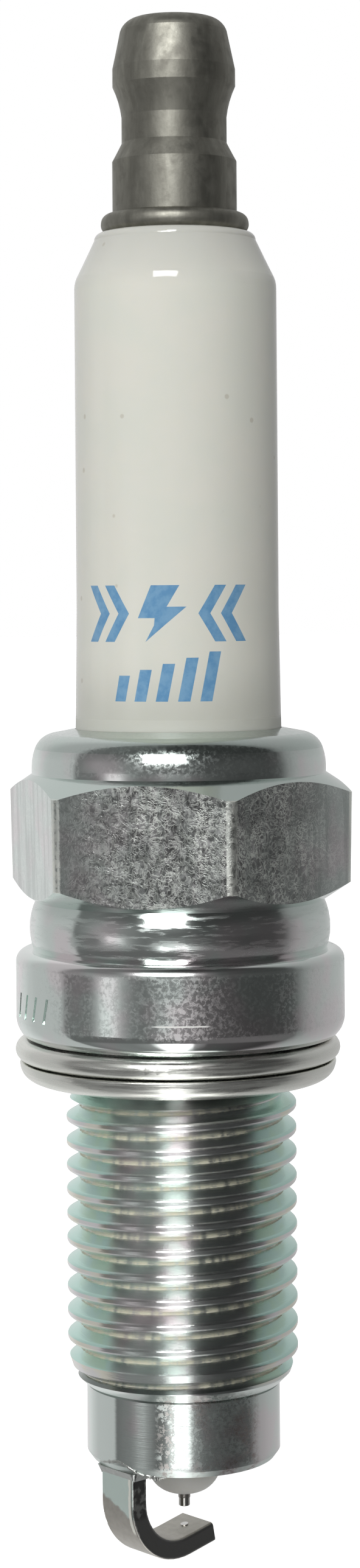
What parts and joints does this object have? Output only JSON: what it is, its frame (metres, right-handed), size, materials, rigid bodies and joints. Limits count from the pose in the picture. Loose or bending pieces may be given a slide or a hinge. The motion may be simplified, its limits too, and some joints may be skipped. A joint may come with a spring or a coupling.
{
  "type": "spark plug",
  "caption": "Engine spark plug: white ceramic insulator with solid terminal, hexagon steel shell, threaded reach with captive gasket, fine-wire tip and bent ground strap.",
  "frame": {"origin": "on the plug's axis, in the plane of the shell flange's underside, where the reach starts", "axes": "+Z along the axis from the firing end to the terminal; the ground strap's arm points 42 degrees from +X towards +Y"},
  "size_m": [0.0178, 0.0174, 0.0793],
  "materials": {
    "nickel_plated_terminal": "dull nickel plating, turned",
    "glazed_alumina": "gloss glaze, warm white",
    "plated_steel": "bright plating with a faint green and pink tint",
    "bare_steel": "plain",
    "pressed_talc": "matt, pressed powder",
    "conductive_glass": "matt fused glass and metal powder",
    "resistor_glass": "matt fused glass and carbon",
    "nickel_alloy": "plain",
    "copper": null,
    "tip_weld_metal": "fused",
    "iridium_alloy": "plain, bright",
    "strap_nickel_alloy": "dull, brownish grey",
    "platinum_alloy": "bright",
    "weld_metal": "fused, slightly rough",
    "gasket_steel": "satin plating"
  },
  "bodies": {
    "plug": {"terminal_stud": "nickel_plated_terminal", "insulator": "glazed_alumina", "metal_shell": "plated_steel", "upper_packing_ring": "bare_steel", "talc_seal": "pressed_talc", "lower_packing_ring": "bare_steel", "seat_packing": "bare_steel", "upper_glass_seal": "conductive_glass", "resistor": "resistor_glass", "lower_glass_seal": "conductive_glass", "center_electrode": "nickel_alloy", "copper_core": "copper", "tip_weld": "tip_weld_metal", "iridium_tip": "iridium_alloy", "ground_electrode": "strap_nickel_alloy", "platinum_pad": "platinum_alloy", "ground_weld": "weld_metal"},
    "gasket": {"seat_gasket": "gasket_steel"}
  },
  "joints": [
    {"name": "gasket_slide", "type": "slide", "parent": "plug", "child": "gasket", "axis": [0, 0, -1], "range_m": [0, 0.0008]}
  ]
}
